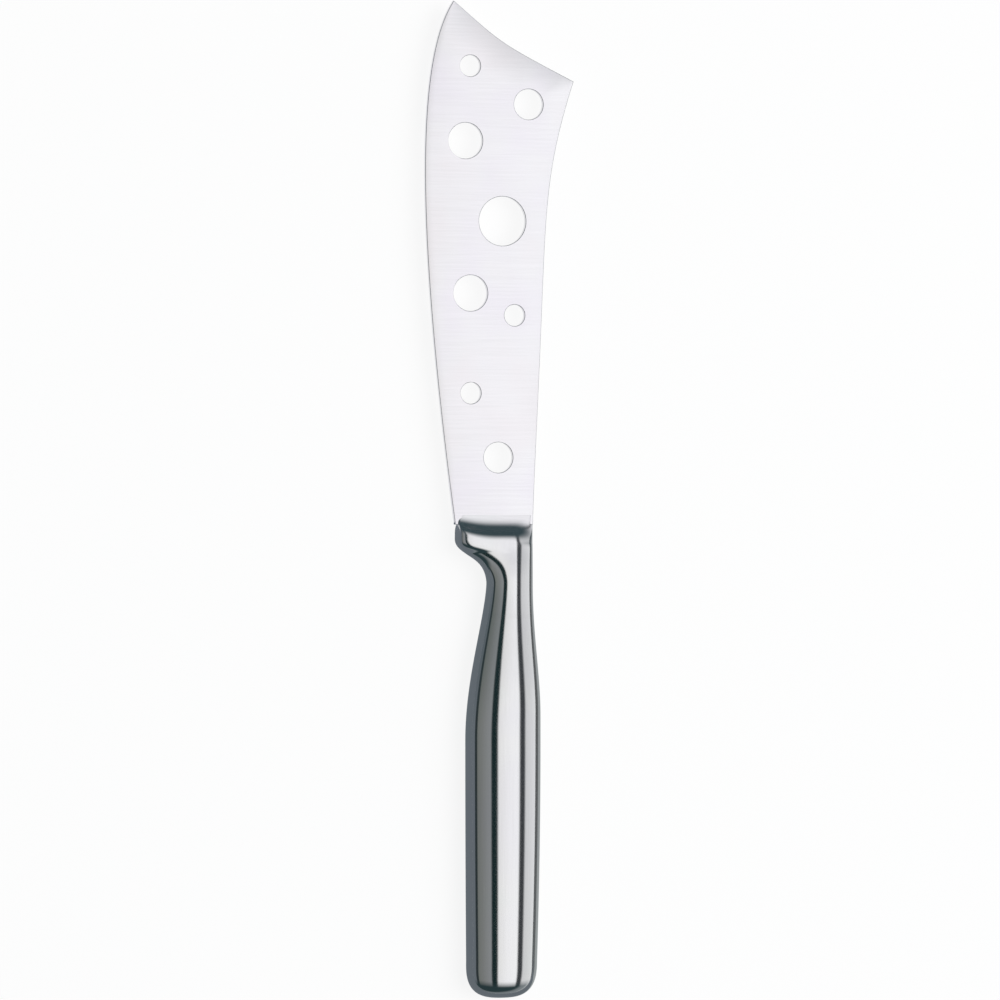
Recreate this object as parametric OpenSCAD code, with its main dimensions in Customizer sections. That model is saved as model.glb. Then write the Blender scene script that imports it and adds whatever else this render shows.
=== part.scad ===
// Cheese knife with a flat pierced blade, a bolster with a finger guard and a hollow steel handle.
// It lies on its side: tip toward +Y, cutting edge toward -X, thickness along Z.

/* [Whole knife] */
// Length from the first point to the butt
knife_l = 240; // [200:1:300]
// Length of bolster and handle together
handle_l = 114; // [100:1:130]

/* [Blade] */
// Reach across the blade, from the belly to the second point
blade_w = 37.6; // [32:0.1:44]
// Thickness of the blade blank
blade_t = 1.3; // [1:0.1:2]
// Width of the ground bevel on the belly
bevel_w = 1.6; // [0.8:0.1:2.5]
// Thickness left at the cutting edge
edge_t = 1; // [0.3:0.05:1.2]
// Diameter of the largest hole
large_hole_d = 11.9; // [9:0.1:13]
// Diameter of the two wide holes on the belly side
wide_hole_d = 8.7; // [6:0.1:10]
// Diameter of the two middling holes
middling_hole_d = 7.4; // [5:0.1:9]
// Diameter of the three small holes
small_hole_d = 5.2; // [3:0.1:7]

/* [Tang] */
// Length of the tang behind the bolster's face
tang_l = 78; // [50:1:90]
// Width of the tang at the bolster
tang_w = 7; // [5:0.1:8]
// Width of the tang at its end
tang_end_w = 5; // [3:0.1:6]
// Diameter of the hole that keys the tang into its cement
key_hole_d = 2.6; // [1.5:0.1:3]

/* [Bolster] */
// Width across the finger guard
guard_w = 19; // [17:0.1:22]
// Thickness of the finger guard
guard_t = 7; // [6:0.1:8]
// Length of the guard's straight side
guard_l = 3.5; // [2:0.1:5]
// Width of the neck at its narrowest
neck_w = 11.4; // [10:0.1:13]
// Thickness of the neck at its narrowest
neck_t = 7.8; // [6.5:0.1:9]
// Distance from the bolster's face to the narrowest place
neck_at = 14; // [11:0.1:18]
// Distance from the handle's axis to the spine side of the neck
neck_side = 7.4; // [6:0.1:9]
// Length of the hollow fillet that runs out on the blade
fillet_l = 2.3; // [1:0.1:4]
// Thickness of the fillet's edge on each face of the blade
fillet_edge_t = 0.15; // [0.1:0.05:0.4]
// Depth of the weld's bite into each face of the blade
weld_depth = 0.1; // [0.05:0.05:0.25]
// Length over which the face swells to the guard's thickness at the guard's tip
face_swell_l = 2; // [1.5:0.1:3.4]
// The same length at the spine side
spine_swell_l = 5.5; // [4:0.1:7]

/* [Handle] */
// Width of the handle at its widest
handle_w = 18.7; // [16:0.1:22]
// Thickness of the handle
handle_t = 11; // [9.5:0.1:14]
// Distance from the bolster's face to the widest place
swell_at = 52; // [44:1:60]
// Distance from the bolster's face to where the spine side has swollen out
spine_swell_at = 46; // [40:1:52]
// Width of the handle where its rounded end begins
butt_w = 17.6; // [15:0.1:20]
// Length of the rounded end
butt_l = 9; // [7:0.1:11]
// Distance from the handle's axis to the middle of the rounded end, toward the belly side
butt_offset = 0.33; // [0:0.01:1]
// Further lean of the rounded end toward the belly side
pole_offset = 0.15; // [0:0.05:1]
// Wall of the pressed half shells
shell_t = 0.8; // [0.6:0.1:1.2]
// Distance from the handle's axis to the middle of the blade's reach
axis_shift = 1; // [0:0.1:3]

/* [Joints of the handle] */
// Distance from the bolster's face to the weld ring
ring_at = 21.4; // [20:0.1:26]
// Width of the weld ring and of the seam bead
weld_w = 1.2; // [0.8:0.1:2]
// Length of the spigot inside the shells
spigot_l = 5.6; // [3:0.1:8]
// Length of the cement past the tang's end
cement_past_l = 5; // [2:0.5:10]
// Play between pieces that slide together before they are fixed
play = 0.05; // [0.03:0.01:0.1]

/* [Hidden] */
$fn = 64;

// Steps along the curves of the blade, round a section and along the handle
belly_steps = 30;
spine_steps = 22;
point_steps = 14;
half_steps = 20;
runout_steps = 3;
fillet_steps = 5;
face_steps = 5;
guard_steps = 12;
neck_steps = 3;
swell_steps = 9;
grip_steps = 3;
butt_steps = 8;
// How far cuts run past what they cut
overrun_l = 1;

// Heights and places that follow from the sizes
mid_z = handle_t / 2;
face_y = handle_l - knife_l / 2;
blade_l = knife_l - handle_l;
butt_at = handle_l - butt_l;
shell_from = ring_at + weld_w;
spigot_to = shell_from + spigot_l;
cement_to = tang_l + cement_past_l;
tang_x = axis_shift + neck_side - neck_w / 2;

// How square the sections are, at the crest and at the side: 2 is an ellipse, more is squarer
fillet_powers = [7, 7];
neck_spine_powers = [1.5, 2.4];
neck_belly_powers = [2.2, 2.2];
handle_powers = [2.1, 2.1];
butt_power = 2.9;
// How the swelling of the face spreads from the guard's tip to the spine side
spread_power = 1.3;
// How fast the neck swells and the handle tapers: 1 is even, more starts later
swell_power = 0.8;
spine_swell_power = 1.1;
taper_power = 2;

// Blade outline: control points as shares of its reach, from the belly, and of its length, from the face
belly_shares = [[0.20, 0], [0.053, 0.309], [0.011, 0.497], [-0.12, 0.864], [0.19, 1]];
points_shares = [[0.19, 1], [0.516, 0.919], [0.502, 0.921], [1, 0.849]];
spine_shares = [[1, 0.849], [0.723, 0.604], [0.852, 0.562], [0.741, 0.215], [0.724, 0]];

// Holes: place as the same two shares, and diameter
holes = [
    [[0.301, 0.876], small_hole_d],
    [[0.695, 0.804], middling_hole_d],
    [[0.269, 0.733], wide_hole_d],
    [[0.518, 0.58], large_hole_d],
    [[0.303, 0.442], wide_hole_d],
    [[0.6, 0.4], small_hole_d],
    [[0.305, 0.251], small_hole_d],
    [[0.49, 0.128], middling_hole_d]
];

// How the guard's side falls in to the neck: shares of the way back and of the way in
guard_fall_shares = [[0, 0], [0.45, 0.01], [0.33, 0.93], [1, 1]];

function mix(a, b, share) = a + (b - a) * share;
function way(x, from, to) = max(0, min(1, (x - from) / (to - from)));
function ease(share) = share * share * (3 - 2 * share);
function bezier(points, share) = len(points) == 1 ? points[0] : bezier(
    [for (i = [0 : len(points) - 2]) mix(points[i], points[i + 1], share)], share);
function curve(points, steps) = [for (i = [0 : steps]) bezier(points, i / steps)];
function unit(v) = v / norm(v);

// Blade outline in the knife's own frame
outline_shares = concat(curve(belly_shares, belly_steps), curve(spine_shares, spine_steps));
reach_from = min([for (p = outline_shares) p[0]]);
reach_to = max([for (p = outline_shares) p[0]]);
function on_blade(p) = [
    ((p[0] - reach_from) / (reach_to - reach_from) - 1 / 2) * blade_w,
    face_y + p[1] * blade_l
];
belly = [for (p = curve(belly_shares, belly_steps)) on_blade(p)];
points_edge = [for (i = [1 : point_steps]) on_blade(bezier(points_shares, i / point_steps))];
spine = [for (i = [1 : spine_steps]) on_blade(bezier(spine_shares, i / spine_steps))];

// Direction across the blade, away from the belly
function inward(i) = let (
    along = unit(belly[min(i + 1, belly_steps)] - belly[max(i - 1, 0)])
) [along[1], -along[0]];
// How much of the bevel is left near its two ends
function bevel_share(i) = min(1, i / runout_steps, (belly_steps - i) / runout_steps);

// Outline of the bolster and the handle at a distance d behind the bolster's face
function swell(d) = ease(pow(way(d, neck_at, swell_at), swell_power));
function spine_swell(d) = ease(pow(way(d, neck_at, spine_swell_at), spine_swell_power));
function taper(d) = pow(way(d, swell_at, butt_at), taper_power);
function spine_side(d) =
    mix(mix(neck_side, handle_w / 2, spine_swell(d)), butt_w / 2 - butt_offset, taper(d));
function belly_side(d) =
    mix(mix(neck_side - neck_w, -handle_w / 2, swell(d)), -butt_w / 2 - butt_offset, taper(d));
// Side is 1 at the spine, -1 at the belly, and between the two over the section
function thickness(d, side) = let (
    swollen_at = mix(face_swell_l, spine_swell_l, pow((1 + side) / 2, spread_power)),
    face_t = mix(blade_t + 2 * fillet_edge_t, guard_t, ease(ease(way(d, -fillet_l, swollen_at)))),
    neck_growth = (neck_t - guard_t) * ease(way(d, spine_swell_l, neck_at))
) mix(face_t + neck_growth, handle_t, swell(d));
function powers(d, side) = let (
    neck_powers = side < 0 ? neck_belly_powers : neck_spine_powers,
    settled = side < 0 ? way(d, guard_l, neck_at / 2) : way(d, -fillet_l, guard_l)
) mix(mix(fillet_powers, neck_powers, ease(settled)), handle_powers, swell(d));

// A station holds the distance, the two sides, and the shrinking and lean of the rounded end
function guard_station(share) = let (
    fall = bezier(guard_fall_shares, share),
    guard_side = neck_side - guard_w
) [mix(guard_l, neck_at, fall[0]), neck_side, mix(guard_side, neck_side - neck_w, fall[1]), 0];
function face_station(d) = [d, neck_side, neck_side - guard_w, 0];
function handle_station(d) = [d, spine_side(d), belly_side(d), 0];
function butt_station(turn) = [butt_at, spine_side(butt_at), belly_side(butt_at), turn];

// Ridge of a section: over the middle of the neck as far as the narrowest place, then midway
function crest(station) = station[0] < neck_at
    ? neck_side - neck_w / 2
    : (station[1] + station[2]) / 2;
function half_w(station, side) = side < 0 ? crest(station) - station[2] : station[1] - crest(station);

// One point of the skin that lies inset below the outside, at an angle round the section
function signed_power(v, exponent) = sign(v) * pow(abs(v), exponent);
function round_in(station) = pow(cos(station[3]), 2 / butt_power);
function round_back(station) = pow(sin(station[3]), 2 / butt_power);
function skin_point(station, inset, angle) = let (
    d = station[0],
    side = cos(angle),
    shape = powers(d, side),
    a = (half_w(station, side) - inset) * round_in(station),
    b = (thickness(d, side) / 2 - inset) * round_in(station)
) [
    axis_shift + crest(station) - pole_offset * round_back(station)
        + a * signed_power(side, 2 / shape[0]),
    face_y - d - (butt_l - inset) * round_back(station),
    mid_z + b * signed_power(sin(angle), 2 / shape[1])
];

// Angle from the side of the section at which the skin reaches a height above the middle
function angle_at(station, inset, height, side) = let (
    b = (thickness(station[0], side) / 2 - inset) * round_in(station)
) asin(pow(min(1, height / b), powers(station[0], side)[1] / 2));
// Turn of the rounded end at which the section is no thicker than the seam bead
function butt_turn(inset) = acos(pow(weld_w / (handle_t - 2 * inset), butt_power / 2));

// Faces that join each ring of points to the next
function ring_faces(rings, size) = [
    for (i = [0 : rings - 1], j = [0 : size - 1]) let (
        a = i * size + j, b = i * size + (j + 1) % size, c = a + size, d = b + size
    ) each [[a, d, b], [a, c, d]]
];
// Solid from rings of points, closed by a flat face at each end
module skin(rings) {
    size = len(rings[0]);
    last = len(rings) - 1;
    polyhedron([for (r = rings) each r], concat(
        ring_faces(last, size),
        [[for (j = [0 : size - 1]) j], [for (j = [size - 1 : -1 : 0]) last * size + j]]
    ));
}
// Solid from rings of points, whose last ring meets the first
module loop(rings) {
    size = len(rings[0]);
    count = len(rings) * size;
    faces = ring_faces(len(rings), size);
    polyhedron([for (r = rings) each r], [for (f = faces) [for (k = f) k % count]]);
}

// Closed wall between an outer and an inner grid of points with the same rows and columns
function grid_faces(rows, cols, first) = [
    for (i = [0 : rows - 2], j = [0 : cols - 2]) let (
        a = first + i * cols + j, b = a + 1, c = a + cols, d = c + 1
    ) each [[a, d, b], [a, c, d]]
];
function turned(faces) = [for (f = faces) [f[0], f[2], f[1]]];
function rim(rows, cols) = concat(
    [for (j = [0 : cols - 2]) j],
    [for (i = [0 : rows - 2]) i * cols + cols - 1],
    [for (j = [cols - 1 : -1 : 1]) (rows - 1) * cols + j],
    [for (i = [rows - 1 : -1 : 1]) i * cols]
);
module wall(outer, inner) {
    rows = len(outer);
    cols = len(outer[0]);
    count = rows * cols;
    edge = rim(rows, cols);
    edge_faces = [for (k = [0 : len(edge) - 1]) let (
        a = edge[k], b = edge[(k + 1) % len(edge)], c = a + count, d = b + count
    ) each [[a, b, d], [a, d, c]]];
    polyhedron(
        concat([for (r = outer) each r], [for (r = inner) each r]),
        concat(grid_faces(rows, cols, 0), turned(grid_faces(rows, cols, count)), edge_faces)
    );
}

function full_ring(station, inset) = [
    for (j = [0 : 2 * half_steps - 1]) skin_point(station, inset, j * 180 / half_steps)
];
// The part of a section that lies a height or more above the middle
function arc_above(station, inset, height) = let (
    start = angle_at(station, inset, height, 1),
    end = 180 - angle_at(station, inset, height, -1)
) [for (j = [0 : half_steps]) skin_point(station, inset, mix(start, end, j / half_steps))];

// Stations along the shells, the same outside and inside up to the rounded end
function shell_stations(inset) = concat(
    [for (i = [0 : swell_steps]) handle_station(mix(shell_from, swell_at, i / swell_steps))],
    [for (i = [1 : grip_steps - 1]) handle_station(mix(swell_at, butt_at, i / grip_steps))],
    [for (i = [0 : butt_steps]) butt_station(butt_turn(inset) * i / butt_steps)]
);
function half_grid(inset) = [for (s = shell_stations(inset)) arc_above(s, inset, weld_w / 2)];

// The same thing on the under side
module other_half() {
    translate([0, 0, 2 * mid_z]) mirror([0, 0, 1]) children();
}

module blade_hole(at, d) {
    translate([at[0], at[1], mid_z]) cylinder(d = d, h = blade_t + 2 * overrun_l, center = true);
}

// Flat tang, grown by a clearance on every side
function tang_outline(clearance) = let (
    front = face_y + clearance,
    back = face_y - tang_l - clearance,
    wide = tang_w / 2 + clearance,
    narrow = tang_end_w / 2 + clearance
) [
    [tang_x + wide, front], [tang_x + narrow, back], [tang_x - narrow, back], [tang_x - wide, front]
];
module tang_block(clearance) {
    translate([0, 0, mid_z]) linear_extrude(blade_t + 2 * clearance, center = true)
        polygon(tang_outline(clearance));
}

// What the grinding takes off the upper face along the belly
module bevel_cut() {
    depth = (blade_t - edge_t) / 2;
    overrun_depth = overrun_l * depth / bevel_w;
    skin([for (i = [0 : belly_steps]) let (
        inner = belly[i] + inward(i) * (bevel_w + overrun_l),
        outer = belly[i] - inward(i) * overrun_l,
        top = mid_z + blade_t / 2 + depth * (1 - bevel_share(i))
    ) [
        [inner[0], inner[1], top + overrun_depth],
        [outer[0], outer[1], top - depth - overrun_depth],
        [outer[0], outer[1], top + overrun_depth]
    ]]);
}
// Room for the weld on the upper face at the heel
module weld_land() {
    translate([0, face_y + fillet_l / 2, mid_z + (blade_t + overrun_l) / 2 - weld_depth])
        cube([blade_w, fillet_l, overrun_l], center = true);
}

module blade() {
    outline = concat(belly, points_edge, spine, tang_outline(0));
    color("gainsboro") difference() {
        translate([0, 0, mid_z]) linear_extrude(blade_t, center = true) polygon(outline);
        for (h = holes) blade_hole(on_blade(h[0]), h[1]);
        blade_hole([tang_x, face_y - tang_l + tang_end_w], key_hole_d);
        bevel_cut();
        other_half() bevel_cut();
        weld_land();
        other_half() weld_land();
    }
}

// Hollow fillet on the upper face of the blade
module fillet() {
    floor_h = blade_t / 2 - weld_depth;
    upper = [for (i = [0 : fillet_steps]) arc_above(
        face_station(-fillet_l * (1 - i / fillet_steps)), 0, (blade_t + fillet_edge_t) / 2)];
    lower = [for (row = upper) [for (p = row) [p[0], p[1], mid_z + floor_h]]];
    wall(upper, lower);
}
module blade_weld() {
    color("silver") {
        fillet();
        other_half() fillet();
    }
}
module bolster() {
    color("silver") difference() {
        skin(concat(
            [for (i = [0 : face_steps]) full_ring(face_station(face_swell_l * i / face_steps), 0)],
            [for (i = [0 : guard_steps]) full_ring(guard_station(i / guard_steps), 0)],
            [for (i = [1 : neck_steps])
                full_ring(handle_station(mix(neck_at, ring_at, i / neck_steps)), 0)],
            [for (d = [ring_at, shell_from, spigot_to])
                full_ring(handle_station(d), shell_t + play)]
        ));
        tang_block(play);
    }
}

module neck_weld() {
    outer_front = full_ring(handle_station(ring_at), 0);
    outer_back = full_ring(handle_station(shell_from), 0);
    inner_front = full_ring(handle_station(ring_at), shell_t);
    inner_back = full_ring(handle_station(shell_from), shell_t);
    color("silver") loop([for (j = [0 : 2 * half_steps - 1])
        [outer_front[j], inner_front[j], inner_back[j], outer_back[j]]]);
}

module handle_shell_top() {
    color("lightgray") wall(half_grid(0), half_grid(shell_t));
}

module handle_shell_bottom() {
    color("lightgray") other_half() wall(half_grid(0), half_grid(shell_t));
}

// The bead follows the rim of the shells: down the spine side, over the pole and up the belly side
module seam_weld() {
    outer = half_grid(0);
    inner = half_grid(shell_t);
    stations = shell_stations(0);
    last = len(outer) - 1;
    function low(p) = [p[0], p[1], 2 * mid_z - p[2]];
    function bead(out, crown, in) = [out, in, low(in), low(out), crown];
    spine_run = [for (i = [0 : last - 1])
        bead(outer[i][0], skin_point(stations[i], 0, 0), inner[i][0])];
    pole = bead(outer[last][0], skin_point(butt_station(90), 0, 0), inner[last][0]);
    belly_run = [for (i = [last - 1 : -1 : 0])
        bead(outer[i][half_steps], skin_point(stations[i], 0, 180), inner[i][half_steps])];
    color("silver") skin(concat(spine_run, [pole], belly_run));
}

module tang_cement() {
    color("dimgray") difference() {
        skin([for (i = [0 : swell_steps])
            full_ring(handle_station(mix(spigot_to, cement_to, i / swell_steps)),
                shell_t + play)]);
        tang_block(play);
    }
}

blade();
blade_weld();
bolster();
neck_weld();
handle_shell_top();
handle_shell_bottom();
seam_weld();
tang_cement();
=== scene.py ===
# %% [markdown]
# # A cheese knife, dressed for its photograph
#
# The knife is all steel: a flat pierced blade, a bolster with a finger guard, and a hollow handle
# made of two pressed half shells that are welded together along both sides. The construction is
# already there as a fixed frame, at its real size. This lesson makes a smooth skin for every
# piece that shows, gives each its steel, and lights it the way polished metal is lit: by what it
# mirrors.

# %% The frame
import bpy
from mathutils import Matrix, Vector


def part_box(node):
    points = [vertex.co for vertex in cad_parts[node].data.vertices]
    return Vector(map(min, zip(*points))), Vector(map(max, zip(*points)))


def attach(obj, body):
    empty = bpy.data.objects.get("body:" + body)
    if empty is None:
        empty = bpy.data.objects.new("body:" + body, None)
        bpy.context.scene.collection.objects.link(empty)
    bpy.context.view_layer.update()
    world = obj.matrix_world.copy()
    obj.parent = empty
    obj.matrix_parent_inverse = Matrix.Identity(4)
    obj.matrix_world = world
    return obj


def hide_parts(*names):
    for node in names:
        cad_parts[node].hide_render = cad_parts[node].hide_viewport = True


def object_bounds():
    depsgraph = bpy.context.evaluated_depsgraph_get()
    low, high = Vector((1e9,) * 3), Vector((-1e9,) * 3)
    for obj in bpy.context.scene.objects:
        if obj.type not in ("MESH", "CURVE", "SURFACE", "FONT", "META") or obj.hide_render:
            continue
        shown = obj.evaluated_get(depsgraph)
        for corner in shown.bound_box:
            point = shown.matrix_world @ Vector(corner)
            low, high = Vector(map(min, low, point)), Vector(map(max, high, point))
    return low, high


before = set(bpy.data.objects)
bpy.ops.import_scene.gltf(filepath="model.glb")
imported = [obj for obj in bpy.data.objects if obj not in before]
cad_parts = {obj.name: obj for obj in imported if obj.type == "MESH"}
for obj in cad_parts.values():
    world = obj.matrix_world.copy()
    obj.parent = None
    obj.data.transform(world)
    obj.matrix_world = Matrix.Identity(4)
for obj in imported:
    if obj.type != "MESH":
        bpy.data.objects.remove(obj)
cad_box = [list(corner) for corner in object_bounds()]

import bmesh
import bpy
import numpy as np
from mathutils import Vector
from mathutils.geometry import delaunay_2d_cdt

print("pieces in the frame:", sorted(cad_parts))

# %% [markdown]
# Every size below is in millimetres and is written once. What the frame can tell is read from it,
# so that the skins lie exactly where the solid pieces are: the knife's length and reach, the
# thickness of the handle, and the plane where the blade leaves the bolster.

# %% Sizes
MM = 0.001


def box_mm(node):
    """Lowest and highest corner of a piece of the frame, in millimetres."""
    low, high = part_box(node)
    return np.array(low) / MM, np.array(high) / MM


low_corner, high_corner = np.array(cad_box) / MM
reach = high_corner[0] - low_corner[0]
tip_y = high_corner[1]
butt_y = low_corner[1]
handle_t = high_corner[2] - low_corner[2]
face_y = box_mm("bolster")[1][1]
mid_z = handle_t / 2

# the blade and its tang
blade_t, bevel_w, edge_t = 1.3, 1.6, 1.0
tang_l, tang_w, tang_end_w, key_hole_d = 78.0, 7.0, 5.0, 2.6

# the guard, the neck, and the fillet ahead of them
guard_w, guard_t, guard_l = 19.0, 7.0, 3.5
neck_w, neck_t, neck_at, neck_side = 11.4, 7.8, 14.0, 7.4
fillet_l, fillet_edge_t = 2.3, 0.15

# how the section thickens behind the blade
face_swell_l, spine_swell_l = 2.0, 6.5
spine_rise_at, slow_swell_l, slow_share = -1.2, 10.0, 0.12
neck_rise_at, spine_settle_at, belly_ease = 5.5, 4.5, 0.4

# the grip, the butt, the walls and the welds
handle_w, swell_at, spine_swell_at = 18.7, 52.0, 46.0
butt_w, butt_l, butt_offset, pole_offset = 17.6, 9.0, 0.33, 0.15
shell_t, axis_shift = 0.8, 1.0
ring_at, weld_w, spigot_l, play = 21.4, 1.2, 5.6, 0.05

# what follows from them
handle_l = face_y - butt_y
blade_l = tip_y - face_y
butt_at = handle_l - butt_l
shell_from = ring_at + weld_w
spigot_to = shell_from + spigot_l
tang_x = axis_shift + neck_side - neck_w / 2

# powers of the sections and of the curves along the knife
fillet_powers, handle_powers = (7.0, 7.0), (2.1, 2.1)
neck_spine_powers, neck_belly_powers = (1.5, 2.4), (2.2, 2.2)
swell_power, spine_swell_power, taper_power = 0.8, 1.1, 2.0
butt_power, spread_power, hollow_power = 2.9, 1.3, 1.3

print(f"knife {tip_y - butt_y:.1f} mm long, {reach:.1f} across, handle {handle_t:.1f} thick")

# %% [markdown]
# Most shapes below are mixtures: of two widths, two thicknesses or two points. These helpers work
# on whole arrays, so that one call shapes a whole row of points.

# %% Mixing
def mix(a, b, share):
    """a where share is 0, b where share is 1, and a straight line between."""
    return a + (b - a) * share


def way(x, start, end):
    """How far x has come from start to end, as a share held between 0 and 1."""
    return np.clip((x - start) / (end - start), 0.0, 1.0)


def ease(share):
    """A share that starts and stops gently: three times its square less twice its cube."""
    return share * share * (3 - 2 * share)


def bezier(points, share):
    """Points of a Bezier curve: neighbours are mixed again and again until one point is left."""
    points = [np.asarray(p, float)[None, :] for p in points]
    share = np.asarray(share, float)[:, None]
    while len(points) > 1:
        points = [mix(p, q, share) for p, q in zip(points, points[1:])]
    return points[0]


print("a quarter of the way, eased:", ease(0.25))

# %% [markdown]
# All curved pieces share one skin. A section of the bolster or of the handle is a rounded oval, a
# superellipse, whose width, thickness and squareness change along the knife. If every piece asks
# the same functions for them, their surfaces meet without a step, as they do on the real knife
# after the welds are ground flush. Each function takes d, the distance behind the bolster's face.

# %% Width, thickness and squareness along the knife
def swell(d):
    """How far the neck has swollen into the grip, d millimetres behind the bolster's face."""
    return ease(way(d, neck_at, swell_at) ** swell_power)


def spine_side(d):
    """Distance from the handle's axis to its spine side, which swells out a little sooner."""
    swollen = ease(way(d, neck_at, spine_swell_at) ** spine_swell_power)
    taper = way(d, swell_at, butt_at) ** taper_power
    return mix(mix(neck_side, handle_w / 2, swollen), butt_w / 2 - butt_offset, taper)


def belly_side(d):
    """Distance from the handle's axis to its belly side, negative toward the cutting edge."""
    taper = way(d, swell_at, butt_at) ** taper_power
    return mix(mix(neck_side - neck_w, -handle_w / 2, swell(d)), -butt_w / 2 - butt_offset, taper)


def thickness(d, side):
    """Thickness of the section: it rises from the blade to the guard, then to neck and grip.

    Side is 1 at the spine and -1 at the belly. The rise starts early at the guard's tip and late
    at the spine. Its share is raised to hollow_power, so that it starts hollow, and eased. A
    second easing, by belly_ease at the belly and whole at the spine, makes it end round. The part
    slow_share of the rise is slower and reaches into the neck.
    """
    spread = ((1 + side) / 2) ** spread_power
    rise_at = mix(-fillet_l, spine_rise_at, spread)
    quick = ease(way(d, rise_at, mix(face_swell_l, spine_swell_l, spread)) ** hollow_power)
    quick = mix(quick, ease(quick), mix(belly_ease, 1.0, spread))
    rise = mix(quick, ease(way(d, rise_at, slow_swell_l)), slow_share)
    face = mix(blade_t + 2 * fillet_edge_t, guard_t, rise)
    neck = (neck_t - guard_t) * ease(way(d, neck_rise_at, neck_at))
    return mix(face + neck, handle_t, swell(d))


def powers(d, side):
    """Two powers of the section, at its crest and its side: 2 is an ellipse, more is squarer."""
    settled = np.where(side < 0, way(d, guard_l, neck_at / 2),
                       way(d, -fillet_l, spine_settle_at))
    return [mix(mix(fillet, np.where(side < 0, belly, spine), ease(settled)), handle, swell(d))
            for fillet, belly, spine, handle
            in zip(fillet_powers, neck_belly_powers, neck_spine_powers, handle_powers)]


for d in (neck_at, swell_at, butt_at):
    print(f"{d:.0f} mm behind the face: {spine_side(d) - belly_side(d):.1f} mm wide,",
          f"{thickness(d, 1.0):.1f} thick")

# %% [markdown]
# The skin turns those sizes into points. It works on whole arrays: one row of points for each
# place along the knife, one column for each angle round the section.

# %% The shared skin
def signed_power(value, exponent):
    """The value's size raised to a power, with its sign kept."""
    return np.sign(value) * np.abs(value) ** exponent


def stations(d, spine=None, belly=None, turn=0.0):
    """One row a station: its distance, spine side, belly side and turn of the rounded end."""
    d = np.atleast_1d(np.asarray(d, float))
    spine = spine_side(d) if spine is None else np.broadcast_to(spine, d.shape)
    belly = belly_side(d) if belly is None else np.broadcast_to(belly, d.shape)
    return np.stack([d, spine, belly, np.broadcast_to(turn, d.shape)], axis=1)


def skin(station, angle, inset=0.0):
    """Points of the skin, inset below the outside, at angles round each station's section.

    Each side has its own half width, measured from the crest. x is the crest plus that half width
    times cos(angle) raised to 2 / crest power. z is the middle plus the half thickness times
    sin(angle) raised to 2 / side power. Toward the rounded end both halves shrink by cos(turn)
    raised to 2 / butt_power, while y moves back by sin(turn) raised to the same power.
    """
    d, spine, belly, turn = (station[:, k, None] for k in range(4))
    side = np.cos(angle)
    crest = np.where(d < neck_at, neck_side - neck_w / 2, (spine + belly) / 2)
    half_w = np.where(side < 0, crest - belly, spine - crest)
    crest_power, side_power = powers(d, side)
    shrink = signed_power(np.cos(turn), 2 / butt_power)
    back = signed_power(np.sin(turn), 2 / butt_power)
    half_t = thickness(d, side) / 2
    out = (half_w - inset) * shrink * signed_power(side, 2 / crest_power)
    x = crest - pole_offset * back + out
    y = face_y - d - (butt_l - inset) * back
    z = (half_t - inset) * shrink * signed_power(np.sin(angle), 2 / side_power)
    return np.stack([axis_shift + x, y + 0 * x, mid_z + z], axis=-1)


def angle_at(station, height, side, inset=0.0):
    """Angle from the section's side at which the skin reaches a height above the middle."""
    d, turn = station[:, 0], station[:, 3]
    half_t = (thickness(d, side) / 2 - inset) * signed_power(np.cos(turn), 2 / butt_power)
    share = np.minimum(1.0, height / np.maximum(half_t, 1e-9))
    return np.arcsin(share ** (powers(d, side)[1] / 2))[:, None]


def arc_above(station, height, cols, inset=0.0):
    """The part of the skin that lies a height or more above the middle, spine side first."""
    start = angle_at(station, height, 1.0, inset)
    end = np.pi - angle_at(station, height, -1.0, inset)
    return skin(station, mix(start, end, np.linspace(0, 1, cols)[None, :]), inset)


section_cols = 240
full_circle = np.linspace(0, 2 * np.pi, section_cols, endpoint=False)[None, :]
print("grip section:", np.ptp(skin(stations(swell_at), full_circle)[0], axis=0).round(2), "mm")

# %% [markdown]
# A grid of points becomes a mesh when each point is joined to its neighbours by four-sided faces.
# The helper below takes blocks of points and blocks of faces, merges points that fall together,
# such as those of a pole, and marks as sharp every edge that turns by more than a given angle.
# Flat faces are kept flat, because the shading of a large flat face must not lean toward the
# rounding at its rim.

# %% From grids to meshes
merge_gap, sharp_angle = 2e-7, np.radians(30.0)


def grid_faces(rows, cols, first=0, closed=False):
    """Four-sided faces between the rows and columns of a grid whose first point has a number."""
    i = np.arange(rows - 1)[:, None]
    j = np.arange(cols if closed else cols - 1)[None, :]
    a = first + i * cols + j
    b = first + i * cols + (j + 1) % cols
    return np.stack([a, b, b + cols, a + cols], axis=-1).reshape(-1, 4)


def bridge(one, other):
    """Four-sided faces between two runs of point numbers of the same length."""
    return np.stack([one[:-1], one[1:], other[1:], other[:-1]], axis=-1)


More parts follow.
